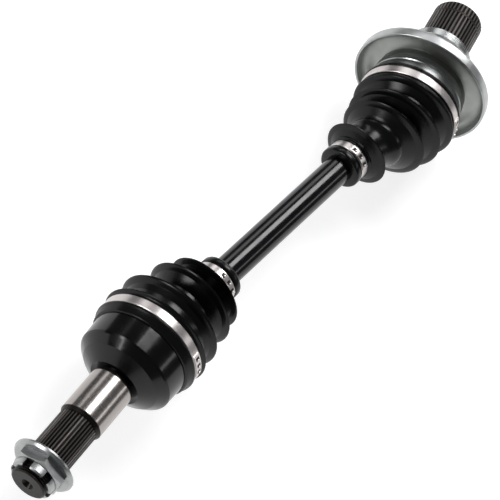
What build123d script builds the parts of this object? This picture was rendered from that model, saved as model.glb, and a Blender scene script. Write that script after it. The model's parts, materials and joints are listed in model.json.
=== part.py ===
from build123d import *
from math import cos, pi, sin, sqrt
import os

# Constant-velocity axle: a bar with a fixed ball joint at its outboard (hub) end and a
# plunging ball joint at its inboard (gearbox) end. Millimetres.
# The bar lies along X with its middle at the origin; both joints bend in the XY plane.

# ---- whole axle ----------------------------------------------------------------------
joint_span = 263.5          # between the two joint centres
outer_bend = 6.0            # rest angle of the outboard stub, degrees about Z
inner_bend = 13.25          # rest angle of the inboard stub, degrees about Z
bar_dia = 18.3              # visible bar
seat_dia = 17.0             # bar ends inside the inner races
running_fit = 0.04          # radial clearance of parts that are pressed or clamped together
open_gap = 0.35             # radial clearance of curved faces that slide past each other

# ---- ball sets, the same in both joints ----------------------------------------------
ball_dia = 13.0
ball_pitch_r = 20.0         # ball centres from the joint centre
ball_count = 6
groove_clearance = 0.66     # room for a ball to wander sideways when the joint bends
window_clearance = 0.08     # ball in its cage window
cage_inner_r = 16.9
cage_outer_r = 22.4
cage_width = 19.0
race_width = 17.0
clip_wire = 1.6             # circlips on the bar ends
bar_end_past_race = 3.0

# ---- outboard stub, stations from the outer joint centre, negative is outboard --------
bell_mouth = 12.0
bell_seat_edge = -5.3       # where the boot lip stops on the bell
bell_crease = -19.3
bell_back = -30.0
bell_dia = 62.0
bell_crease_dia = 60.6
bell_back_dia = 32.0
boot_seat_depth = 0.7
neck_dia = 25.4
neck_length = 3.2
journal_dia = 27.0
journal_length = 28.8
collar_length = 2.6
outer_spline_dia = 24.4
outer_spline_length = 31.3
outer_spline_teeth = 36
outer_tooth_height = 0.75
thread_dia = 22.0
thread_pitch = 1.5
thread_length = 15.6
center_drill_dia = 7.0

# ---- hub nut --------------------------------------------------------------------------
nut_flange_dia = 38.6
nut_flange_thickness = 2.4
nut_across_flats = 28.0
nut_hex_height = 5.6
nut_crown_dia = 26.6
nut_crown_height = 5.0
nut_slot_width = 5.0
nut_slots = 6

# ---- inboard stub, stations from the inner joint centre, positive is inboard -----------
housing_mouth = -16.5
housing_seat_edge = 2.4
housing_dia = 62.0
housing_land_end = 13.0
housing_step_dia = 57.0
housing_bottom = 29.0
housing_back = 49.5
housing_neck_dia = 42.0
bore_dia = 46.0
inner_spline_dia = 33.6
inner_spline_length = 31.0
seal_land_length = 7.5
inner_spline_teeth = 40
inner_tooth_height = 0.95
stub_clip_from_end = 9.0
mouth_ring_wire = 1.8

# ---- dust shield ------------------------------------------------------------------------
shield_dia = 90.0
shield_rim_depth = 8.0
shield_sheet = 1.6
shield_rim_front = 14.3

# ---- boots and clamps --------------------------------------------------------------------
boot_wall = 1.6
boot_lip_wall = 2.3
small_lip_dia = 25.4
outer_large_lip_length = 12.8
inner_large_lip_length = 10.6
outer_small_lip = 71.3      # end of the small lip from the outer joint centre
inner_small_lip = -76.9     # end of the small lip from the inner joint centre
small_lip_length = 12.0
small_lip_flange = 5.4        # the thicker free end of the small lip
small_lip_flange_dia = 28.4
clamp_band = 1.0
large_clamp_width = 5.6
small_clamp_width = 5.2
clamp_ear_height = 2.6
clamp_ear_length = 9.0
clamp_ear_turn = 70.0       # degrees round the axle from +Z towards -Y

# crests and valleys between the lips: station and outer radius
outer_boot_folds = [(10.4, 34.6), (16.2, 29.4), (24.2, 33.0), (33.2, 23.4),
                    (42.0, 28.6), (48.8, 19.6), (54.0, 24.2), (58.0, 15.0)]
inner_boot_folds = [(-63.0, 15.0), (-59.0, 21.6), (-54.0, 16.6), (-40.0, 22.4), (-35.4, 28.4),
                    (-30.6, 24.4), (-24.2, 31.6), (-19.4, 28.4), (-12.0, 34.2)]

# ---- frames -------------------------------------------------------------------------------
bar_frame_outer = Location((-joint_span / 2, 0, 0))
bar_frame_inner = Location((joint_span / 2, 0, 0))
outer_frame = bar_frame_outer * Location((0, 0, 0), (0, 0, outer_bend))
outer_half_frame = bar_frame_outer * Location((0, 0, 0), (0, 0, outer_bend / 2))
inner_frame = bar_frame_inner * Location((0, 0, 0), (0, 0, inner_bend))
inner_half_frame = bar_frame_inner * Location((0, 0, 0), (0, 0, inner_bend / 2))
nodes = {}


def turned(corners):
    """Solid of revolution about X through (station, radius) corners."""
    return revolve(make_face(Polyline(*corners, close=True)), axis=Axis.X)


def tube(start, end, outer_r, inner_r):
    """Plain ring between two stations."""
    return turned([(start, inner_r), (start, outer_r), (end, outer_r), (end, inner_r)])


def rod(start, end, radius):
    """Plain cylinder between two stations."""
    return turned([(start, 0), (start, radius), (end, radius), (end, 0)])


def splined(start, end, tip_dia, tooth_height, teeth, chamfer_length):
    """Straight-sided external splines with chamfered ends."""
    tip = tip_dia / 2
    root = tip - tooth_height
    step = 2 * pi / teeth
    outline = []
    for tooth in range(teeth):
        middle = tooth * step
        for share, radius in ((-0.36, root), (-0.15, tip), (0.15, tip), (0.36, root)):
            angle = middle + share * step
            outline.append((radius * cos(angle), radius * sin(angle)))
    section = Plane.YZ * make_face(Polyline(*outline, close=True))
    bar = Pos(start, 0, 0) * extrude(section, amount=end - start)
    envelope = turned([(start, 0), (start, root), (start + chamfer_length, tip + 0.2),
                       (end - chamfer_length, tip + 0.2), (end, root), (end, 0)])
    return bar & envelope


def threaded(start, end):
    """Thread crests as rings at the real pitch, with a chamfered free end at start."""
    major = thread_dia / 2
    minor = major - 0.61 * thread_pitch
    corners = [(start, 0), (start, minor)]
    count = int((end - start) / thread_pitch)
    for turn in range(count):
        at = start + turn * thread_pitch
        corners.append((at + 0.40 * thread_pitch, major))
        corners.append((at + 0.60 * thread_pitch, major))
        corners.append((at + 1.00 * thread_pitch, minor))
    corners.append((end, minor))
    corners.append((end, 0))
    return turned(corners)


def ball_azimuths():
    """Azimuths about X, from +Z, of the ball set."""
    return [ball * 360 / ball_count for ball in range(ball_count)]


def ball_at(azimuth):
    """One ball in the cage plane."""
    return Rot(azimuth, 0, 0) * Pos(0, 0, ball_pitch_r) * Sphere(ball_dia / 2)


def arc_grooves(low, high):
    """Round-bottomed grooves along great circles through the ball centres."""
    groove_r = ball_dia / 2 + groove_clearance
    ring = Rot(90, 0, 0) * Torus(ball_pitch_r, groove_r)
    grooves = [Rot(azimuth, 0, 0) * ring for azimuth in ball_azimuths()[: ball_count // 2]]
    slab = Pos((low + high) / 2, 0, 0) * Box(high - low, 90, 90)
    return [groove & slab for groove in grooves]


def straight_grooves(low, high):
    """Round-bottomed grooves parallel to the axis."""
    groove_r = ball_dia / 2 + groove_clearance
    return [Rot(azimuth, 0, 0) * Pos(0, 0, ball_pitch_r) * rod(low, high, groove_r)
            for azimuth in ball_azimuths()]


def inner_race():
    """Grooved ball race that sits on the bar end."""
    body = Sphere(cage_inner_r - open_gap)
    body &= rod(-race_width / 2, race_width / 2, cage_inner_r)
    body -= rod(-race_width, race_width, seat_dia / 2 + running_fit)
    for groove in arc_grooves(-race_width, race_width):
        body -= groove
    return body


def cage():
    """Spherical cage with one round window for each ball."""
    body = Sphere(cage_outer_r) - Sphere(cage_inner_r)
    body &= rod(-cage_width / 2, cage_width / 2, cage_outer_r + 1)
    window = Cylinder(ball_dia / 2 + window_clearance, cage_outer_r + 5,
                      align=(Align.CENTER, Align.CENTER, Align.MIN))
    for azimuth in ball_azimuths():
        body -= Rot(azimuth, 0, 0) * window
    return body


def axle_bar():
    """Bar with stepped ends, circlip grooves and shallow seats under the small clamps."""
    half = joint_span / 2
    seat_r = seat_dia / 2
    bar_r = bar_dia / 2
    shoulder = half - race_width / 2
    tip = half + race_width / 2 + bar_end_past_race
    clip = half + race_width / 2
    groove_r = seat_r - clip_wire / 2
    right = [(shoulder - 6, bar_r), (shoulder - 3, seat_r + 1.0), (shoulder, seat_r + 1.0),
             (shoulder, seat_r), (clip, seat_r), (clip, groove_r),
             (clip + clip_wire, groove_r), (clip + clip_wire, seat_r), (tip - 1, seat_r),
             (tip, seat_r - 1)]
    left = [(-station, radius) for station, radius in reversed(right)]
    return turned([(-tip, 0)] + left + right + [(tip, 0)])


def circlip(start, groove_r, wire):
    """Open wire ring in a groove."""
    ring = tube(start + running_fit, start + wire - running_fit, groove_r + wire, groove_r)
    return ring - Pos(start, 0, -groove_r) * Box(4 * wire, 3, 4 * wire)


def outer_race():
    """Bell, bearing journal, splined stub and threaded end in one forging."""
    bell_r = bell_dia / 2
    seat_r = bell_r - boot_seat_depth
    back_r = bell_back_dia / 2
    crease_r = bell_crease_dia / 2
    journal_in = bell_back - neck_length
    journal_out = journal_in - journal_length
    spline_in = journal_out - collar_length
    spline_out = spline_in - outer_spline_length
    stub_end = spline_out - thread_length
    journal_r = journal_dia / 2
    spline_root = outer_spline_dia / 2 - outer_tooth_height
    shoulder_mid = (bell_crease + bell_back) / 2
    bell = turned([(spline_in, 0), (spline_in, spline_root + 0.6), (journal_out, journal_r),
                   (journal_in, journal_r), (journal_in, neck_dia / 2),
                   (bell_back + 0.6, neck_dia / 2), (bell_back, back_r),
                   (shoulder_mid, back_r + 0.62 * (crease_r - back_r)),
                   (bell_crease - 1.2, crease_r - 0.9), (bell_crease, crease_r),
                   (bell_seat_edge, bell_r), (bell_seat_edge, seat_r),
                   (bell_mouth, seat_r), (bell_mouth, 0)])
    bell += splined(spline_out, spline_in + 0.5, outer_spline_dia, outer_tooth_height,
                    outer_spline_teeth, 1.2)
    bell += threaded(stub_end, spline_out + 0.5)
    bell -= Sphere(cage_outer_r + open_gap)
    mouth_r = sqrt((cage_outer_r + open_gap) ** 2 - bell_mouth ** 2)
    bell -= turned([(bell_mouth - 3, 0), (bell_mouth - 3, mouth_r - 0.5),
                    (bell_mouth + 1, mouth_r + 3.0), (bell_mouth + 1, 0)])
    for groove in arc_grooves(-15, bell_mouth + 30):
        bell -= groove
    bell -= turned([(stub_end - 1, 0), (stub_end - 1, center_drill_dia / 2 + 1),
                    (stub_end + center_drill_dia * 0.6, 0.8), (stub_end + 8, 0.8),
                    (stub_end + 8, 0)])
    return bell


def hub_nut():
    """Flanged castle nut, its flange against the end of the splines."""
    spline_out = bell_back - neck_length - journal_length - collar_length - outer_spline_length
    face = spline_out - 0.1
    flange_r = nut_flange_dia / 2
    hex_end = face - nut_flange_thickness - nut_hex_height
    crown_end = hex_end - nut_crown_height
    flange = turned([(face, 0), (face, flange_r), (face - 1.0, flange_r),
                     (face - nut_flange_thickness, flange_r - 1.2),
                     (face - nut_flange_thickness, 0)])
    hexagon = RegularPolygon(nut_across_flats / 2, 6, major_radius=False, rotation=30)
    prism = extrude(Plane.YZ * hexagon, amount=nut_hex_height + 1)
    corner_r = nut_across_flats / sqrt(3)
    envelope = turned([(hex_end, 0), (hex_end, nut_crown_dia / 2 + 0.4),
                       (hex_end + 1.6, corner_r + 0.2), (face, corner_r + 0.2), (face, 0)])
    body = flange + ((Pos(hex_end, 0, 0) * prism) & envelope)
    crown_r = nut_crown_dia / 2
    crown = turned([(crown_end, 0), (crown_end, crown_r - 0.8), (crown_end + 0.8, crown_r),
                    (hex_end, crown_r), (hex_end, 0)])
    slot = Pos(crown_end, 0, 0) * Box(2 * nut_crown_height + 1.0, nut_slot_width, 60)
    for turn in range(nut_slots // 2):
        crown -= Rot(turn * 360 / nut_slots + 30, 0, 0) * slot
    body += crown
    return body - rod(crown_end - 1, face + 1, thread_dia / 2 + running_fit)


def inner_housing():
    """Cylindrical ball-joint housing with straight grooves and a splined stub."""
    housing_r = housing_dia / 2
    seat_r = housing_r - boot_seat_depth
    stub_end = housing_back + inner_spline_length + 1.0
    neck_r = housing_neck_dia / 2
    line = (housing_seat_edge + housing_land_end) / 2
    body = turned([(housing_mouth, 0), (housing_mouth, seat_r - 3.2),
                   (housing_mouth + 2.5, seat_r), (housing_seat_edge, seat_r),
                   (housing_seat_edge, housing_r), (line - 0.5, housing_r),
                   (line, housing_r - 0.5), (line + 0.5, housing_r),
                   (housing_land_end, housing_r), (housing_land_end, housing_step_dia / 2),
                   (housing_bottom - 1, housing_step_dia / 2),
                   (housing_back - seal_land_length, neck_r + 2.5),
                   (housing_back - seal_land_length, neck_r), (housing_back, neck_r),
                   (housing_back + 1.5, neck_r - 2.4), (housing_back + 1.5, 0)])
    body += splined(housing_back + 1.0, stub_end, inner_spline_dia, inner_tooth_height,
                    inner_spline_teeth, 2.0)
    body -= rod(housing_mouth - 1, housing_bottom, bore_dia / 2)
    for groove in straight_grooves(housing_mouth - 1, housing_bottom - 3):
        body -= groove
    ring_at = housing_mouth + 1.0
    ring_r = bore_dia / 2 + mouth_ring_wire * 0.6
    body -= tube(ring_at, ring_at + mouth_ring_wire, ring_r, bore_dia / 2 - 2)
    clip_r = inner_spline_dia / 2 - inner_tooth_height - 0.8
    clip_at = stub_end - stub_clip_from_end
    body -= tube(clip_at, clip_at + clip_wire, inner_spline_dia, clip_r)
    body -= turned([(stub_end + 1, 0), (stub_end + 1, 5.0), (stub_end - 4, 0.8),
                    (stub_end - 7, 0.8), (stub_end - 7, 0)])
    return body


def mouth_ring():
    """Open wire ring that keeps the balls in the housing."""
    start = housing_mouth + 1.0
    outer_r = bore_dia / 2 + mouth_ring_wire * 0.6 - running_fit
    ring = tube(start + running_fit, start + mouth_ring_wire - running_fit,
                outer_r, outer_r - mouth_ring_wire)
    return ring - Pos(start, 0, -outer_r) * Box(4 * mouth_ring_wire, 4, 5 * mouth_ring_wire)


def dust_shield():
    """Pressed dish on a sleeve behind the housing's land, open towards the bar."""
    sleeve_r = housing_step_dia / 2 + running_fit
    rim_r = shield_dia / 2
    front = shield_rim_front
    back = front + shield_rim_depth
    t = shield_sheet
    start = housing_land_end + 0.1
    return turned([(start, sleeve_r), (start, sleeve_r + t), (back - t - 4.0, sleeve_r + t),
                   (back - t - 1.0, sleeve_r + t + 3.0), (back - t, rim_r - 5.0),
                   (back - t - 1.8, rim_r - t - 0.8), (front, rim_r - t), (front, rim_r),
                   (back - 2.2, rim_r), (back - 0.4, rim_r - 1.6), (back, rim_r - 5.0),
                   (back, sleeve_r + t + 4.0), (back - 2.5, sleeve_r + t + 1.0),
                   (back - 2.5 + 0.5, sleeve_r)])


def bend_share(station, small_end, large_end):
    """Share of the rest bend at a station: none at the small lip, all at the large one."""
    share = (station - small_end) / (large_end - small_end)
    share = min(max(share, 0.0), 1.0)
    return share * share * (3 - 2 * share)


def bellows(rings, small_end, large_end, bend, grow=0.0):
    """Solid through circles (station, radius) that are turned about the joint centre."""
    circles = []
    for station, radius in rings:
        turn = bend * bend_share(station, small_end, large_end)
        place = Location((0, 0, 0), (0, 0, turn)) * Plane.YZ.offset(station).location
        circles.append(place * Circle(radius + grow))
    return loft(circles, ruled=True)


def boot(folds, small_lip, small_start, large_start, large_end, seat_r, bend):
    """Rubber bellows: small lip on the bar, folds, large lip on the bell or housing."""
    small_r = small_lip_dia / 2
    large_r = seat_r + running_fit + boot_lip_wall
    bar_r = bar_dia / 2 + running_fit
    inward = 1 if large_end > small_lip else -1
    flange = small_lip + (small_start - small_lip) * small_lip_flange / small_lip_length
    outer = [(small_lip, small_lip_flange_dia / 2), (flange, small_lip_flange_dia / 2),
             (flange + (small_start - flange) * 0.02, small_r), (small_start, small_r)] + folds
    outer += [(large_start, large_r), (large_end, large_r)]
    shell = bellows(outer, small_start, large_start, bend)
    inner = [(small_start, bar_r)]
    inner += [(station, radius - boot_wall) for station, radius in folds]
    inner += [(large_start, seat_r + running_fit), (large_end, seat_r + running_fit)]
    shell -= bellows(inner, small_start, large_start, bend)
    low = min(small_lip, small_start) - 1
    high = max(small_lip, small_start) + 1
    shell -= rod(low, high, bar_r)
    large = Location((0, 0, 0), (0, 0, bend))
    shell -= large * rod(min(large_start, large_end + inward), max(large_start, large_end + inward),
                         seat_r + running_fit)
    return shell


def clamp(start, width, inner_r):
    """Band clamp with a crimped ear."""
    outer_r = inner_r + clamp_band
    band = tube(start, start + width, outer_r, inner_r)
    ear = Box(width * 0.7, clamp_ear_length, clamp_ear_height + clamp_band,
              align=(Align.CENTER, Align.CENTER, Align.MIN))
    ear = Pos(start + width / 2, 0, outer_r - clamp_band * 0.6) * ear
    ear -= rod(start - 1, start + width + 1, inner_r + 0.2)
    return band + Rot(clamp_ear_turn, 0, 0) * ear


# ---- bar and what is fixed to it -------------------------------------------------------------
half_race = race_width / 2
clip_groove_r = seat_dia / 2 - clip_wire / 2
nodes["axle_shaft"] = axle_bar()
for name, place, side in (("outer", bar_frame_outer, -1), ("inner", bar_frame_inner, 1)):
    turn_end = Rot(0, 0, 180) if side < 0 else Rot(0, 0, 0)
    nodes[name + "_inner_race"] = place * inner_race()
    nodes[name + "_race_circlip"] = place * turn_end * circlip(half_race, clip_groove_r, clip_wire)

# ---- ball sets and cages, halfway between the bar and the stub ---------------------------------
for name, place in (("outer", outer_half_frame), ("inner", inner_half_frame)):
    nodes[name + "_cage"] = place * cage()
    nodes[name + "_ball_top"] = place * ball_at(0)
    nodes[name + "_ball_bottom"] = place * ball_at(180)
    sides = [azimuth for azimuth in ball_azimuths() if azimuth not in (0, 180)]
    nodes[name + "_side_balls"] = Compound([place * ball_at(azimuth) for azimuth in sides])

# ---- stubs -----------------------------------------------------------------------------------
nodes["outer_race"] = outer_frame * outer_race()
nodes["hub_nut"] = outer_frame * hub_nut()
nodes["inner_housing"] = inner_frame * inner_housing()
nodes["housing_mouth_ring"] = inner_frame * mouth_ring()
nodes["dust_shield"] = inner_frame * dust_shield()
stub_clip_start = housing_back + inner_spline_length + 1.0 - stub_clip_from_end
stub_clip_r = inner_spline_dia / 2 - inner_tooth_height - 0.8 + running_fit
nodes["stub_circlip"] = inner_frame * circlip(stub_clip_start, stub_clip_r, clip_wire)

# ---- boots -------------------------------------------------------------------------------------
bell_seat_r = bell_dia / 2 - boot_seat_depth
housing_seat_r = housing_dia / 2 - boot_seat_depth
outer_small_start = outer_small_lip - small_lip_length
inner_small_start = inner_small_lip + small_lip_length
outer_large_start = bell_seat_edge + outer_large_lip_length
inner_large_start = housing_seat_edge - inner_large_lip_length
nodes["outer_boot"] = bar_frame_outer * boot(
    list(reversed(outer_boot_folds)), outer_small_lip, outer_small_start,
    outer_large_start, bell_seat_edge + 0.1, bell_seat_r, outer_bend)
nodes["inner_boot"] = bar_frame_inner * boot(
    inner_boot_folds, inner_small_lip, inner_small_start,
    inner_large_start, housing_seat_edge - 0.1, housing_seat_r, inner_bend)

# ---- clamps --------------------------------------------------------------------------------------
small_clamp_r = small_lip_dia / 2 + running_fit
lip_gap = running_fit + boot_lip_wall + running_fit
nodes["outer_boot_large_clamp"] = outer_frame * clamp(
    outer_large_start - large_clamp_width - 0.4, large_clamp_width, bell_seat_r + lip_gap)
nodes["inner_boot_large_clamp"] = inner_frame * clamp(
    inner_large_start + 0.4, large_clamp_width, housing_seat_r + lip_gap)
nodes["outer_boot_small_clamp"] = bar_frame_outer * clamp(
    outer_small_lip - small_lip_flange - 0.2 - small_clamp_width, small_clamp_width, small_clamp_r)
nodes["inner_boot_small_clamp"] = bar_frame_inner * clamp(
    inner_small_lip + small_lip_flange + 0.2, small_clamp_width, small_clamp_r)

os.makedirs("parts", exist_ok=True)
for name, shape in nodes.items():
    shape.label = name
    export_step(shape, "parts/" + name + ".step")
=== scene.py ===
import json
from math import atan2, cos, pi, radians, sin

import bpy
from bpy.props import FloatProperty, FloatVectorProperty, PointerProperty
from mathutils import Matrix, Vector


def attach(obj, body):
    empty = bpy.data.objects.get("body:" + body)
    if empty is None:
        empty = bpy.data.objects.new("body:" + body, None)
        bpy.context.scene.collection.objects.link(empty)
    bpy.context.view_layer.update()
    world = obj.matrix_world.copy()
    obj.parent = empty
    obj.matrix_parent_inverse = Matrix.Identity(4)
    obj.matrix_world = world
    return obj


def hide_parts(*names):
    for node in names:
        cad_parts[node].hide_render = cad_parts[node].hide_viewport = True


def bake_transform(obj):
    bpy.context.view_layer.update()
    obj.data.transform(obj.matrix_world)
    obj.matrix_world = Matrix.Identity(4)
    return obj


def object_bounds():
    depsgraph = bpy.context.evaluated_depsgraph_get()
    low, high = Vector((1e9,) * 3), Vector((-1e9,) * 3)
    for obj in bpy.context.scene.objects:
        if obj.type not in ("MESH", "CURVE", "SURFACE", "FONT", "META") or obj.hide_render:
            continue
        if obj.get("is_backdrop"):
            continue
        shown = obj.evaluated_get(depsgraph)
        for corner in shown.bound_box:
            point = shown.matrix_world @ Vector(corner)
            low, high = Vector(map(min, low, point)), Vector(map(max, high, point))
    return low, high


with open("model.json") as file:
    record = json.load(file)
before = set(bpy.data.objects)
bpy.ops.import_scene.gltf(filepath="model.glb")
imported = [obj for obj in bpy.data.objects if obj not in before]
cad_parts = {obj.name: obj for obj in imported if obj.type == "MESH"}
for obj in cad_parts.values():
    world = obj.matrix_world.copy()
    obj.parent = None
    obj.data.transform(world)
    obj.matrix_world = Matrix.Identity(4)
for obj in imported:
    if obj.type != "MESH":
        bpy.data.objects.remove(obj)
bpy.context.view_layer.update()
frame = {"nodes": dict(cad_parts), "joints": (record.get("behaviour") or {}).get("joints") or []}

bl_info = {
    "name": "CV axle dressing",
    "version": (1, 0, 0),
    "blender": (4, 5, 0),
    "location": "View3D > Sidebar > CV axle",
    "description": "Boots, clamps, dust shield and finishes for a constant-velocity axle",
    "category": "Object",
}

MM = 0.001
joints = {joint["name"]: joint for joint in frame["joints"]}


class Joint:
    """One ball joint of the axle: its centre, the stub's rest angle and its frame matrix."""

    def __init__(self, side, stub_body):
        near = joints[side + "_tilt"]
        far = joints[side + "_tilt_far"]
        self.side = side
        self.stub_body = stub_body
        self.centre = Vector(near["pos_m"])
        self.bend = atan2(-far["axis"][0], far["axis"][1])
        self.axis = Vector((cos(self.bend), sin(self.bend), 0))

    def place(self, share=1.0):
        """Matrix from the joint's own frame, turned by a share of the rest bend."""
        return Matrix.Translation(self.centre) @ Matrix.Rotation(self.bend * share, 4, "Z")


outer = Joint("outer", "outer_stub")
inner = Joint("inner", "inner_stub")

# Crests and valleys of each boot: (station from the joint centre, outer radius), both in mm.
OUTER_FOLDS = ((58.0, 14.6), (54.0, 24.6), (48.8, 15.8), (42.0, 29.0), (33.2, 19.8),
               (24.2, 33.4), (16.2, 28.0), (10.6, 34.8))
INNER_FOLDS = ((-63.6, 14.6), (-59.0, 22.0), (-54.4, 16.0), (-42.6, 18.4), (-35.2, 28.8),
               (-30.4, 22.0), (-24.2, 32.0), (-19.4, 26.4), (-12.0, 34.4))
# Stations in mm where one stretch of a boot ends and the next begins, small lip first.
OUTER_CUTS = (59.3, 37.0, 26.0, 19.0, -5.2)
INNER_CUTS = (-64.9, -48.0, -40.0, -34.0, -28.0, 2.3)
# Stations in mm where the bellows end and the large lips begin, and the small lips' length.
OUTER_LARGE_LIP = 7.5
INNER_LARGE_LIP = -8.2
SMALL_LIP_LENGTH = 12
# Overlapping end of a clamp's band, along the band.
TONGUE_LENGTH = 16 * MM
CLAMP_SHARP_ANGLE = 38
# Where each finish of a stub ends and the next begins: station in mm from the joint centre.
OUTER_BANDS = ((-200, "dark"), (-96.2, "phosphate"), (-65.2, "dark"), (-62.2, "ground"),
               (-33.3, "dark"), (-30.4, "paint"))
INNER_BANDS = ((-50, "plate"), (49.6, "phosphate"))
# Dust shield: stations from the inner joint centre, and radii.
SHIELD_FRONT = 14.3 * MM
SHIELD_BACK = 22.3 * MM
SHIELD_RIM = 45.0 * MM
SHIELD_SLEEVE = 28.54 * MM


class AxleSizes(bpy.types.PropertyGroup):
    """Sizes of the modelled pieces."""

    boot_wall: FloatProperty(name="Boot wall", description="Rubber thickness of the folds",
                             default=1.6 * MM, unit="LENGTH")
    small_lip: FloatProperty(name="Small lip", description="Outer radius of a boot's small lip",
                             default=12.7 * MM, unit="LENGTH")
    large_lip: FloatProperty(name="Large lip", description="Outer radius of a boot's large lip",
                             default=32.6 * MM, unit="LENGTH")
    seat: FloatProperty(name="Boot seat", description="Radius that the large lip sits on",
                        default=30.4 * MM, unit="LENGTH")
    bar: FloatProperty(name="Bar", description="Radius of the bar inside the small lip",
                       default=9.2 * MM, unit="LENGTH")
    band: FloatProperty(name="Band", description="Thickness of the clamp bands",
                        default=1.0 * MM, unit="LENGTH")
    shield_sheet: FloatProperty(name="Shield sheet", description="Dust shield sheet thickness",
                                default=1.6 * MM, unit="LENGTH")


class AxleColours(bpy.types.PropertyGroup):
    """Base colours of the finishes."""

    paint: FloatVectorProperty(name="Paint", description="Gloss black of bar and bell",
                               default=(0.0016, 0.0016, 0.0022), subtype="COLOR")
    rubber: FloatVectorProperty(name="Rubber", description="Moulded boots",
                                default=(0.0022, 0.0023, 0.0025), subtype="COLOR")
    zinc: FloatVectorProperty(name="Zinc", description="Plated nut, shield and housing land",
                              default=(0.42, 0.43, 0.43), subtype="COLOR")
    band: FloatVectorProperty(name="Band", description="Stainless clamp bands",
                              default=(0.60, 0.56, 0.55), subtype="COLOR")
    ground: FloatVectorProperty(name="Ground steel", description="Bearing journal",
                                default=(0.40, 0.37, 0.35), subtype="COLOR")
    phosphate: FloatVectorProperty(name="Phosphate", description="Splines and thread",
                                   default=(0.016, 0.011, 0.009), subtype="COLOR")


# ---- mesh helpers --------------------------------------------------------------------


def deselect():
    """Leaves nothing selected and object mode active."""
    if bpy.context.object and bpy.context.object.mode != "OBJECT":
        bpy.ops.object.mode_set(mode="OBJECT")
    bpy.ops.object.select_all(action="DESELECT")


def activate(piece):
    """Makes a piece the only selected and active object."""
    deselect()
    piece.select_set(True)
    bpy.context.view_layer.objects.active = piece


def apply_place(piece, matrix=None):
    """Bakes a piece's place into its mesh, after an optional further matrix."""
    activate(piece)
    if matrix is not None:
        piece.matrix_world = matrix @ piece.matrix_world
    bpy.ops.object.transform_apply(location=True, rotation=True, scale=True)


def finish_mesh(piece, sharp=35.0):
    """Outward normals and smooth shading up to an angle."""
    activate(piece)
    bpy.ops.object.mode_set(mode="EDIT")
    bpy.ops.mesh.select_all(action="SELECT")
    bpy.ops.mesh.normals_make_consistent(inside=False)
    bpy.ops.object.mode_set(mode="OBJECT")
    bpy.ops.object.shade_smooth_by_angle(angle=radians(sharp))


def turned(name, outline, sides=128):
    """Closed ring about X through (station, radius) points, by extruding one circle."""
    deselect()
    station, radius = outline[0]
    bpy.ops.mesh.primitive_circle_add(vertices=sides, radius=radius, location=(station, 0, 0),
                                      rotation=(0, pi / 2, 0))
    piece = bpy.context.active_object
    piece.name = name
    apply_place(piece)
    bpy.ops.object.mode_set(mode="EDIT")
    bpy.ops.mesh.select_all(action="SELECT")
    for next_station, next_radius in outline[1:]:
        bpy.ops.mesh.extrude_edges_move(
            TRANSFORM_OT_translate={"value": (next_station - station, 0, 0)})
        grow = next_radius / radius
        bpy.ops.transform.resize(value=(1, grow, grow), center_override=(next_station, 0, 0))
        station, radius = next_station, next_radius
    bpy.ops.mesh.select_all(action="DESELECT")
    bpy.ops.mesh.select_mode(type="EDGE")
    bpy.ops.mesh.select_non_manifold()
    bpy.ops.mesh.bridge_edge_loops()
    bpy.ops.object.mode_set(mode="OBJECT")
    return piece


def between(low, high, steps):
    """Run from one fold point to the next, without the last: wide valleys, rounded crests."""
    points = []
    rising = high[1] > low[1]
    for step in range(steps):
        share = step / steps
        climb = share if rising else 1 - share
        ease = (1 - cos(pi * climb ** 2.1)) / 2
        ease = ease if rising else 1 - ease
        points.append((low[0] + (high[0] - low[0]) * share, low[1] + (high[1] - low[1]) * ease))
    return points


def join(pieces, name):
    """Joins meshes into one piece."""
    deselect()
    for piece in pieces:
        piece.select_set(True)
    bpy.context.view_layer.objects.active = pieces[0]
    bpy.ops.object.join()
    pieces[0].name = name
    return pieces[0]


def dress(piece, material, body, replaced):
    """Gives a finished piece its material and body, and hides the node that it stands for."""
    piece.data.materials.clear()
    piece.data.materials.append(material)
    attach(piece, body)
    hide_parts(replaced)


# ---- boots ---------------------------------------------------------------------------


def bend_share(station, small_end, large_end):
    """Share of the rest bend at a station: none at the small lip, all at the large one."""
    share = (station - small_end) / (large_end - small_end)
    share = min(max(share, 0.0), 1.0)
    return share * share * (3 - 2 * share)


def boot_outline(sizes, folds, small_end, large_end, clamp_at):
    """Closed outline of a boot's wall: small lip, folds, large lip, and back inside."""
    way = 1 if large_end > small_end else -1
    wall = sizes.boot_wall
    neck = small_end + way * SMALL_LIP_LENGTH * MM
    flange = sizes.small_lip + 1.5 * MM
    points = [(small_end, sizes.bar), (small_end, flange - 1.2 * MM),
              (small_end + way * 0.4 * MM, flange - 0.4 * MM),
              (small_end + way * 1.2 * MM, flange), (small_end + way * 4.4 * MM, flange),
              (small_end + way * 5.1 * MM, flange - 0.5 * MM),
              (small_end + way * 5.3 * MM, sizes.small_lip),
              (small_end + way * 11 * MM, sizes.small_lip)]
    knots = [(neck, sizes.small_lip + 0.3 * MM)] + [(s * MM, r * MM) for s, r in folds]
    knots.append((clamp_at, sizes.large_lip))
    for low, high in zip(knots, knots[1:]):
        points += between(low, high, 16)
    points += [(clamp_at, sizes.large_lip), (clamp_at + way * 6.0 * MM, sizes.large_lip),
               (clamp_at + way * 6.3 * MM, sizes.large_lip + 1.2 * MM),
               (clamp_at + way * 7.0 * MM, sizes.large_lip + 1.6 * MM),
               (clamp_at + way * 7.9 * MM, sizes.large_lip + 1.3 * MM),
               (clamp_at + way * 8.6 * MM, sizes.large_lip + 0.2 * MM),
               (large_end - way * 0.5 * MM, sizes.large_lip - 0.2 * MM),
               (large_end, sizes.large_lip - 0.8 * MM), (large_end, sizes.seat)]
    points.append((clamp_at, sizes.seat))
    for station, radius in reversed(folds):
        points.append((station * MM, radius * MM - wall))
    points.append((neck, sizes.bar))
    return points


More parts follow.
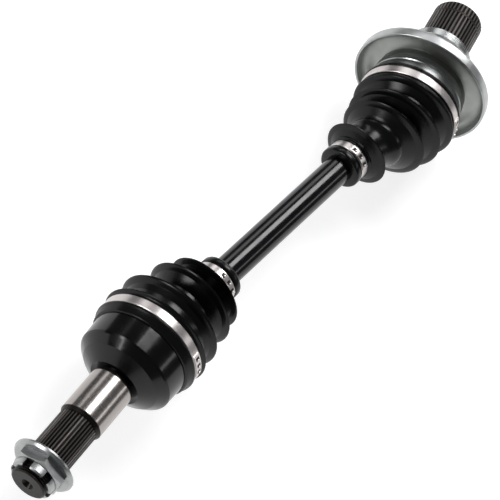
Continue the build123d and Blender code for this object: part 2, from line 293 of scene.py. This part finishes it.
def keep_between(piece, low, high):
    """Cuts a turned piece down to the stretch between two stations."""
    activate(piece)
    bpy.ops.object.mode_set(mode="EDIT")
    for station, outward in ((low, -1), (high, 1)):
        bpy.ops.mesh.select_all(action="SELECT")
        bpy.ops.mesh.bisect(plane_co=(station, 0, 0), plane_no=(outward, 0, 0),
                            clear_outer=True, threshold=1e-6)
    bpy.ops.object.mode_set(mode="OBJECT")


def make_boot(joint, folds, cuts, clamp_at, material):
    """Bellows boot in stretches, bent at rest by a share of its joint's bend that grows from the
    small lip to the large one.
    """
    sizes = bpy.context.scene.axle_sizes
    small_end = cuts[0] + (SMALL_LIP_LENGTH if cuts[0] > 0 else -SMALL_LIP_LENGTH)
    bend_from, bend_to = cuts[0] * MM, clamp_at * MM

    def centre_line(station):
        share = bend_share(station, bend_from, bend_to)
        return joint.place(share) @ Vector((station, 0, 0))

    outline = boot_outline(sizes, folds, small_end * MM, cuts[-1] * MM, clamp_at * MM)
    whole = turned(joint.side + "_boot_whole", outline, 144)
    finish_mesh(whole, 60)
    for number, (first, last) in enumerate(zip(cuts, cuts[1:])):
        activate(whole)
        bpy.ops.object.duplicate()
        piece = bpy.context.active_object
        piece.name = f"{joint.side}_boot_{number + 1}"
        start = small_end if number == 0 else first
        low, high = sorted((start * MM, last * MM))
        keep_between(piece, low - (1e-5 if number == 0 else 0), high + 1e-7)
        for vertex in piece.data.vertices:
            share = bend_share(vertex.co.x, bend_from, bend_to)
            vertex.co = joint.place(share) @ vertex.co
        piece.data.materials.clear()
        piece.data.materials.append(material)
        bend_end = clamp_at if last == cuts[-1] else last * MM
        centre_line(first * MM)
        centre_line(bend_end)
        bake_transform(piece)
        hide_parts(joint.side + "_boot")
    bpy.data.objects.remove(whole)


# ---- clamps --------------------------------------------------------------------------


def rounded_band(name, start, width, radius, thickness):
    """Ring of band steel with rounded edges."""
    end = start + width
    rim = 0.22 * MM
    top = radius + thickness
    outline = [(start + rim, radius), (start, radius + rim), (start, top - rim),
               (start + rim, top), (end - rim, top), (end, top - rim), (end, radius + rim),
               (end - rim, radius)]
    return turned(name, outline, 160)


def keep_arc(piece, middle, half):
    """Cuts a ring about X down to an arc; angles from +Z towards -Y, in radians."""
    activate(piece)
    bpy.ops.object.mode_set(mode="EDIT")
    for side in (-1, 1):
        angle = middle + side * half
        bpy.ops.mesh.select_all(action="SELECT")
        bpy.ops.mesh.bisect(plane_co=(0, 0, 0),
                            plane_no=(0, -side * cos(angle), -side * sin(angle)),
                            clear_outer=True, use_fill=True, threshold=1e-6)
    bpy.ops.object.mode_set(mode="OBJECT")


def hook(station, angle, radius, size, material):
    """Small pressed tab on the band at an angle round the axle."""
    deselect()
    bpy.ops.mesh.primitive_cube_add(size=1, location=(station, 0, radius))
    tab = bpy.context.active_object
    tab.scale = size
    apply_place(tab)
    bevel = tab.modifiers.new("Bevel", "BEVEL")
    bevel.width = min(size) * 0.3
    bevel.segments = 3
    activate(tab)
    bpy.ops.object.modifier_apply(modifier=bevel.name)
    apply_place(tab, Matrix.Rotation(angle, 4, "X"))
    tab.data.materials.append(material)
    return tab


def make_clamp(joint, name, start, width, radius, body, share, facing):
    """Band clamp: rounded band, overlapping tongue, and hooks beside dark sheets of painted
    shade that stand for the windows.
    """
    sizes = bpy.context.scene.axle_sizes
    steel = bpy.data.materials["band steel " + joint.side]
    window = bpy.data.materials["clamp window shade"]
    ring = rounded_band(name, start, width, radius, sizes.band)
    over = rounded_band(name + "_tongue", start + 0.3 * MM, width - 0.6 * MM,
                        radius + sizes.band - 0.1 * MM, 0.7 * MM)
    reach = TONGUE_LENGTH / 2 / radius
    keep_arc(over, facing, reach)
    for piece in (ring, over):
        piece.data.materials.append(steel)
    top = radius + sizes.band + 0.6 * MM
    middle = start + width / 2
    parts = [ring, over]
    for number in (-1, 0, 1):
        angle = facing + number * reach * 0.62
        # Each dark slot is a thin near-black sheet on the tongue: painted shade where the window
        # opens beside its hook.
        slot_size = (width * 0.52, 2.6 * MM, 0.12 * MM)
        tab_size = (width * 0.34, 1.3 * MM, 1.3 * MM)
        parts.append(hook(middle, angle, top, slot_size, window))
        parts.append(hook(middle, angle + 0.9 * MM / radius, top, tab_size, steel))
    clamp = join(parts, name)
    finish_mesh(clamp, CLAMP_SHARP_ANGLE)
    apply_place(clamp, joint.place(share))
    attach(clamp, body)
    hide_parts(name)


# ---- materials -----------------------------------------------------------------------


class Shader:
    """A material under construction: short calls for the nodes that the finishes share."""

    def __init__(self, name):
        self.material = bpy.data.materials.new(name)
        self.material.use_nodes = True
        self.tree = self.material.node_tree
        self.surface = self.tree.nodes["Principled BSDF"]
        self.coordinates = self.node("ShaderNodeTexCoord").outputs["Object"]

    def node(self, kind, **settings):
        made = self.tree.nodes.new(kind)
        for key, value in settings.items():
            setattr(made, key, value)
        return made

    def feed(self, socket, value):
        """Links a socket, or sets a plain value."""
        if isinstance(value, bpy.types.NodeSocket):
            self.tree.links.new(value, socket)
        else:
            socket.default_value = value

    def set(self, name, value):
        self.feed(self.surface.inputs[name], value)

    def math(self, operation, first, second=0.0):
        made = self.node("ShaderNodeMath", operation=operation)
        self.feed(made.inputs[0], first)
        self.feed(made.inputs[1], second)
        return made.outputs[0]

    def vector(self, operation, first, second=(0, 0, 0)):
        made = self.node("ShaderNodeVectorMath", operation=operation)
        self.feed(made.inputs[0], first)
        self.feed(made.inputs[1], second)
        return made

    def along(self, centre, axis):
        """(station, distance from the axis) of the shaded point, in metres."""
        local = self.vector("SUBTRACT", self.coordinates, tuple(centre)).outputs[0]
        station = self.vector("DOT_PRODUCT", local, tuple(axis)).outputs["Value"]
        scaled = self.node("ShaderNodeVectorMath", operation="SCALE")
        scaled.inputs[0].default_value = tuple(axis)
        self.feed(scaled.inputs["Scale"], station)
        rest = self.vector("SUBTRACT", local, scaled.outputs[0]).outputs[0]
        return station, self.vector("LENGTH", rest).outputs["Value"]

    def noise(self, scale, detail=4.0, vector=None):
        made = self.node("ShaderNodeTexNoise")
        self.feed(made.inputs["Vector"], vector or self.coordinates)
        made.inputs["Scale"].default_value = scale
        made.inputs["Detail"].default_value = detail
        return made.outputs["Fac"]

    def spread(self, value, low, high, start=0.3, stop=0.7):
        """Maps a value from start..stop to low..high."""
        made = self.node("ShaderNodeMapRange")
        self.feed(made.inputs["Value"], value)
        for name, number in (("From Min", start), ("From Max", stop),
                             ("To Min", low), ("To Max", high)):
            made.inputs[name].default_value = number
        return made.outputs["Result"]

    def mix(self, share, first, second):
        """Colour between two colours."""
        made = self.node("ShaderNodeMix", data_type="RGBA")
        self.feed(made.inputs["Factor"], share)
        for socket, value in ((made.inputs[6], first), (made.inputs[7], second)):
            flat = not isinstance(value, bpy.types.NodeSocket)
            self.feed(socket, (*value[:3], 1.0) if flat else value)
        return made.outputs[2]

    def blend_number(self, share, first, second):
        """Number between two numbers."""
        made = self.node("ShaderNodeMix", data_type="FLOAT")
        self.feed(made.inputs["Factor"], share)
        self.feed(made.inputs[2], first)
        self.feed(made.inputs[3], second)
        return made.outputs[0]

    def bump(self, height, distance, strength=1.0):
        made = self.node("ShaderNodeBump")
        made.inputs["Distance"].default_value = distance
        made.inputs["Strength"].default_value = strength
        self.feed(made.inputs["Height"], height)
        self.set("Normal", made.outputs["Normal"])

    def streaks(self, station, scale):
        """Fine lines that run round the axle."""
        stretched = self.node("ShaderNodeCombineXYZ")
        self.feed(stretched.inputs[0], self.math("MULTIPLY", station, scale))
        return self.noise(1.0, 6.0, stretched.outputs[0])


def shade(colour, factor):
    """A lighter or darker tone of a colour."""
    return tuple(min(1.0, channel * factor) for channel in colour)


def gloss_paint(colour):
    """Gloss black paint with a clear coat and slight orange peel."""
    made = Shader("gloss black paint")
    cloud = made.noise(60.0)
    made.set("Base Color", made.mix(cloud, colour, shade(colour, 1.8)))
    made.set("Roughness", made.spread(made.noise(180.0), 0.12, 0.22))
    made.set("Specular IOR Level", 0.3)
    made.set("Coat Weight", 0.15)
    made.set("Coat Roughness", 0.06)
    made.bump(made.noise(420.0, 2.0), 0.00004, 0.25)
    return made.material


def moulded_rubber(colour):
    """Semi-gloss black rubber with a fine moulded grain."""
    made = Shader("moulded rubber")
    cloud = made.noise(45.0)
    made.set("Base Color", made.mix(cloud, colour, shade(colour, 2.2)))
    made.set("Roughness", made.spread(made.noise(120.0), 0.20, 0.28))
    made.set("Specular IOR Level", 0.24)
    made.bump(made.noise(1400.0, 3.0), 0.00006, 0.22)
    return made.material


def band_steel(colour, joint):
    """Stainless band, brushed round the axle."""
    made = Shader("band steel " + joint.side)
    station, _ = made.along(joint.centre, joint.axis)
    lines = made.streaks(station, 9000.0)
    made.set("Base Color", made.mix(lines, shade(colour, 0.86), colour))
    made.set("Metallic", 1.0)
    made.set("Roughness", made.spread(lines, 0.24, 0.38))
    made.bump(lines, 0.00003, 0.3)
    return made.material


def zinc_plate(colour):
    """Satin zinc plate with faint mottling."""
    made = Shader("zinc plate")
    cloud = made.noise(70.0, 5.0)
    made.set("Base Color", made.mix(made.spread(cloud, 0, 1), shade(colour, 0.82), colour))
    made.set("Metallic", 1.0)
    made.set("Roughness", made.spread(made.noise(240.0), 0.26, 0.38))
    made.bump(made.noise(900.0, 3.0), 0.00004, 0.25)
    return made.material


def satin_shield(colour):
    """Satin plated sheet: bright rolled rim, and a bowl darkened with painted shade."""
    made = Shader("satin shield")
    _, radius = made.along(inner.centre, inner.axis)
    # Inside a radius of 41 mm, fading out by 43.6 mm, the plate takes the darker bowl colours:
    # painted shade in the hollow of the bowl.
    inside = made.spread(radius, 1, 0, 41.0 * MM, 43.6 * MM)
    cloud = made.noise(26.0, 3.0)
    bowl = made.mix(made.spread(cloud, 0, 1), (0.22, 0.232, 0.215), (0.34, 0.35, 0.335))
    made.set("Base Color", made.mix(inside, colour, bowl))
    made.set("Metallic", 1.0)
    made.set("Roughness", made.spread(made.noise(240.0), 0.30, 0.40))
    made.bump(made.noise(900.0, 3.0), 0.00003, 0.2)
    return made.material


def window_shade_sheet():
    """Near-black sheet for the recess under a clamp's hook: painted shade of the window opening.
    """
    made = Shader("clamp window shade")
    # Near-black colour with faint mottling, painted shade in place of a real opening.
    made.set("Base Color", made.mix(made.noise(300.0), (0.004, 0.004, 0.004),
                                    (0.012, 0.011, 0.010)))
    made.set("Roughness", made.spread(made.noise(200.0), 0.5, 0.7))
    return made.material


def dark_clip(colour):
    """Oiled spring steel of the clip in the splines."""
    made = Shader("oiled clip")
    made.set("Base Color", made.mix(made.noise(200.0), shade(colour, 0.6), shade(colour, 1.4)))
    made.set("Metallic", 0.6)
    made.set("Roughness", made.spread(made.noise(150.0), 0.4, 0.55))
    return made.material


def hidden_steel(colour):
    """Plain ground steel of the inner pieces."""
    made = Shader("bearing steel")
    made.set("Base Color", made.mix(made.noise(200.0), shade(colour, 0.7), colour))
    made.set("Metallic", 1.0)
    made.set("Roughness", made.spread(made.noise(300.0), 0.12, 0.3))
    return made.material


def stub_finish(name, joint, colours, bands, teeth_r):
    """One forging with finishes by station: paint, ground steel, plate or phosphate."""
    made = Shader(name)
    station, radius = made.along(joint.centre, joint.axis)
    lines = made.streaks(station, 7000.0)
    cloud = made.noise(90.0, 5.0)
    kinds = {
        "paint": (colours.paint, 0.0, made.spread(cloud, 0.14, 0.24)),
        "ground": (made.mix(lines, shade(colours.ground, 0.8), colours.ground), 1.0,
                   made.spread(lines, 0.16, 0.3)),
        "plate": (made.mix(cloud, shade(colours.zinc, 0.85), colours.zinc), 1.0,
                  made.spread(lines, 0.2, 0.34)),
        # By radius: darker than the plain phosphate in the roots between the teeth, and most of
        # the way to a dim steel tone over the last 0.5 mm to the tooth tips.
        "phosphate": (made.mix(made.spread(radius, 0, 0.8, teeth_r - 0.5 * MM, teeth_r),
                               shade(colours.phosphate, 0.35), shade(colours.ground, 0.26)),
                      0.75, made.spread(cloud, 0.34, 0.5)),
        "dark": (shade(colours.phosphate, 0.5), 0.4, made.spread(cloud, 0.3, 0.45)),
    }
    colour, metal, rough = kinds[bands[0][1]]
    for limit, kind in bands[1:]:
        share = made.spread(station, 0, 1, limit * MM - 0.00006, limit * MM + 0.00006)
        next_colour, next_metal, next_rough = kinds[kind]
        colour = made.mix(share, colour, next_colour)
        metal = made.blend_number(share, metal, next_metal)
        rough = made.blend_number(share, rough, next_rough)
    made.set("Base Color", colour)
    made.set("Metallic", metal)
    made.set("Roughness", rough)
    made.set("Specular IOR Level", 0.25)
    made.set("Coat Weight", made.math("MULTIPLY", made.math("SUBTRACT", 1.0, metal), 0.15))
    made.set("Coat Roughness", 0.06)
    made.bump(made.noise(500.0, 3.0), 0.00004, 0.25)
    return made.material


# ---- operators -----------------------------------------------------------------------


class AXLE_OT_finishes(bpy.types.Operator):
    """Make the materials and give them to the CAD nodes that stay visible."""

    bl_idname = "axle.finishes"
    bl_label = "Make finishes"

    def execute(self, context):
        colours = context.scene.axle_colours
        paint = gloss_paint(tuple(colours.paint))
        moulded_rubber(tuple(colours.rubber))
        zinc = zinc_plate(tuple(colours.zinc))
        for joint in (outer, inner):
            band_steel(tuple(colours.band), joint)
        window_shade_sheet()
        satin_shield(tuple(colours.zinc))
        steel = hidden_steel(tuple(colours.ground))
        hub_stub = stub_finish("outboard stub", outer, colours, OUTER_BANDS, 12.2 * MM)
        box_stub = stub_finish("inboard stub", inner, colours, INNER_BANDS, 16.8 * MM)
        clip = dark_clip(tuple(colours.phosphate))
        chosen = {"axle_shaft": paint, "outer_race": hub_stub, "inner_housing": box_stub,
                  "hub_nut": zinc, "stub_circlip": clip}
        for name, node in frame["nodes"].items():
            node.data.materials.clear()
            node.data.materials.append(chosen.get(name, steel))
        return {"FINISHED"}


class AXLE_OT_boots(bpy.types.Operator):
    """Model both bellows boots"""

    bl_idname = "axle.boots"
    bl_label = "Model boots"

    def execute(self, context):
        rubber = bpy.data.materials["moulded rubber"]
        make_boot(outer, OUTER_FOLDS, OUTER_CUTS, OUTER_LARGE_LIP,
                  rubber)
        make_boot(inner, INNER_FOLDS, INNER_CUTS, INNER_LARGE_LIP,
                  rubber)
        return {"FINISHED"}


class AXLE_OT_shield(bpy.types.Operator):
    """Model the pressed dust shield"""

    bl_idname = "axle.shield"
    bl_label = "Model dust shield"

    def execute(self, context):
        t = context.scene.axle_sizes.shield_sheet
        front, back = SHIELD_FRONT, SHIELD_BACK
        rim, sleeve = SHIELD_RIM, SHIELD_SLEEVE
        bowl = []
        for step in range(19):
            share = step / 18
            angle = share * pi / 2
            radius = sleeve + t + (rim - t - sleeve - t) * share ** 0.8
            bowl.append((back - t - (back - t - front) * (1 - sin(angle)) ** 1.6 * 0.45
                         - (back - t - front - 1.0 * MM) * share ** 7, radius))
        outline = [(front - 1.2 * MM, sleeve), (front - 1.2 * MM, sleeve + t)] + bowl
        outline += [(front + 0.3 * MM, rim - t), (front, rim - t + 0.3 * MM),
                    (front, rim - 0.3 * MM), (front + 0.3 * MM, rim), (back - 2.6 * MM, rim),
                    (back - 1.2 * MM, rim - 0.4 * MM), (back - 0.3 * MM, rim - 1.4 * MM),
                    (back, rim - 3.2 * MM), (back, sleeve + t + 4.0 * MM),
                    (back - 1.0 * MM, sleeve + t + 1.4 * MM), (back - 2.6 * MM, sleeve)]
        shield = turned("dust_shield", outline, 160)
        finish_mesh(shield, 40)
        apply_place(shield, inner.place(1.0))
        dress(shield, bpy.data.materials["satin shield"], inner.stub_body,
              "dust_shield")
        return {"FINISHED"}


class AXLE_OT_clamps(bpy.types.Operator):
    """Model the four boot clamps"""

    bl_idname = "axle.clamps"
    bl_label = "Model clamps"

    def execute(self, context):
        sizes = context.scene.axle_sizes
        large = sizes.large_lip + 0.1 * MM
        small = sizes.small_lip + 0.05 * MM
        make_clamp(outer, "outer_boot_large_clamp", 1.6 * MM, 5.6 * MM, large,
                   outer.stub_body, 1.0, radians(64))
        make_clamp(inner, "inner_boot_large_clamp", -7.9 * MM, 5.6 * MM, large,
                   inner.stub_body, 1.0, radians(74))
        make_clamp(outer, "outer_boot_small_clamp", 60.4 * MM, 5.2 * MM, small,
                   "shaft", 0.0, radians(30))
        make_clamp(inner, "inner_boot_small_clamp", -71.2 * MM, 5.2 * MM, small,
                   "shaft", 0.0, radians(22))
        return {"FINISHED"}


class AXLE_OT_stage(bpy.types.Operator):
    """Set up the floor, the studio lights and the camera"""

    bl_idname = "axle.stage"
    bl_label = "Set up stage"

    def execute(self, context):
        low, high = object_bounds()
        middle = (low + high) / 2
        make_floor(middle, low.z)
        make_lights(middle)
        make_camera()
        return {"FINISHED"}


def make_floor(middle, height):
    """Plain pale floor under the axle, lit from within like a light table."""
    deselect()
    bpy.ops.mesh.primitive_plane_add(size=8, location=(middle.x, middle.y, height - 0.2 * MM))
    floor = bpy.context.active_object
    floor.name = "floor"
    made = Shader("floor")
    made.set("Base Color", (0.45, 0.45, 0.45, 1.0))
    made.set("Roughness", 0.9)
    made.set("Specular IOR Level", 0.0)
    made.set("Emission Color", (1.0, 1.0, 1.0, 1.0))
    made.set("Emission Strength", 0.78)
    floor.data.materials.append(made.material)
    floor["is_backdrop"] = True


def area_light(name, place, target, size, power):
    """Rectangular softbox aimed at a target."""
    bpy.ops.object.light_add(type="AREA", location=place)
    light = bpy.context.active_object
    light.name = name
    light.data.shape = "RECTANGLE"
    light.data.size, light.data.size_y = size
    light.data.energy = power
    light.rotation_euler = (target - place).to_track_quat("-Z", "Y").to_euler()


def make_lights(middle):
    """Dim surroundings, a main softbox, two side strips, and light from back and front."""
    world = bpy.data.worlds.new("studio")
    bpy.context.scene.world = world
    world.use_nodes = True
    world.node_tree.nodes["Background"].inputs["Color"].default_value = (0.95, 0.97, 1.0, 1.0)
    world.node_tree.nodes["Background"].inputs["Strength"].default_value = 0.12
    deselect()
    area_light("main softbox", middle + Vector((0.88, 0.12, 1.46)), middle, (0.70, 0.62), 15.0)
    area_light("left softbox", middle + Vector((0.95, 1.15, 0.90)), middle, (0.9, 0.5), 3.2)
    area_light("right strip", middle + Vector((0.95, -1.25, 0.80)), middle, (0.9, 0.2), 1.6)
    area_light("back light", middle + Vector((1.9, 0.1, 1.0)), middle, (1.2, 0.3), 16.0)
    area_light("front light", middle + Vector((-1.6, 0.9, 0.8)), middle, (0.6, 0.6), 12.0)
    bpy.context.scene.view_settings.view_transform = "Standard"


VIEW_FORWARD = Vector((0.552, 0.0984, -0.828))
VIEW_UP = Vector((0.5646, 0.6867, 0.458))
VIEW_PLACE = Vector((-0.719, -0.122, 1.0274))
VIEW_LENS = 150.9


def make_camera():
    """Long-lens camera above the hub end, rolled so that the bar runs up to the right."""
    bpy.ops.object.camera_add(location=VIEW_PLACE)
    camera = bpy.context.active_object
    forward = VIEW_FORWARD.normalized()
    right = forward.cross(VIEW_UP).normalized()
    up = right.cross(forward)
    camera.rotation_euler = Matrix((right, up, -forward)).transposed().to_euler()
    camera.data.sensor_width = 36.0
    camera.data.lens = VIEW_LENS
    camera.data.clip_start = 0.05
    bpy.context.scene.camera = camera


class AXLE_PT_panel(bpy.types.Panel):
    """Steps that dress the CV axle."""

    bl_idname = "AXLE_PT_panel"
    bl_label = "CV axle"
    bl_space_type = "VIEW_3D"
    bl_region_type = "UI"
    bl_category = "CV axle"

    def draw(self, context):
        for operator in OPERATORS:
            self.layout.operator(operator.bl_idname)


OPERATORS = (AXLE_OT_finishes, AXLE_OT_boots, AXLE_OT_clamps, AXLE_OT_shield, AXLE_OT_stage)
CLASSES = (AxleSizes, AxleColours) + OPERATORS + (AXLE_PT_panel,)


def register():
    for kind in CLASSES:
        bpy.utils.register_class(kind)
    bpy.types.Scene.axle_sizes = PointerProperty(type=AxleSizes)
    bpy.types.Scene.axle_colours = PointerProperty(type=AxleColours)


def unregister():
    del bpy.types.Scene.axle_colours
    del bpy.types.Scene.axle_sizes
    for kind in reversed(CLASSES):
        bpy.utils.unregister_class(kind)


def main():
    """Registers the add-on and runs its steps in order."""
    register()
    bpy.ops.axle.finishes()
    bpy.ops.axle.boots()
    bpy.ops.axle.clamps()
    bpy.ops.axle.shield()
    bpy.ops.axle.stage()


if __name__ == "__main__":
    main()
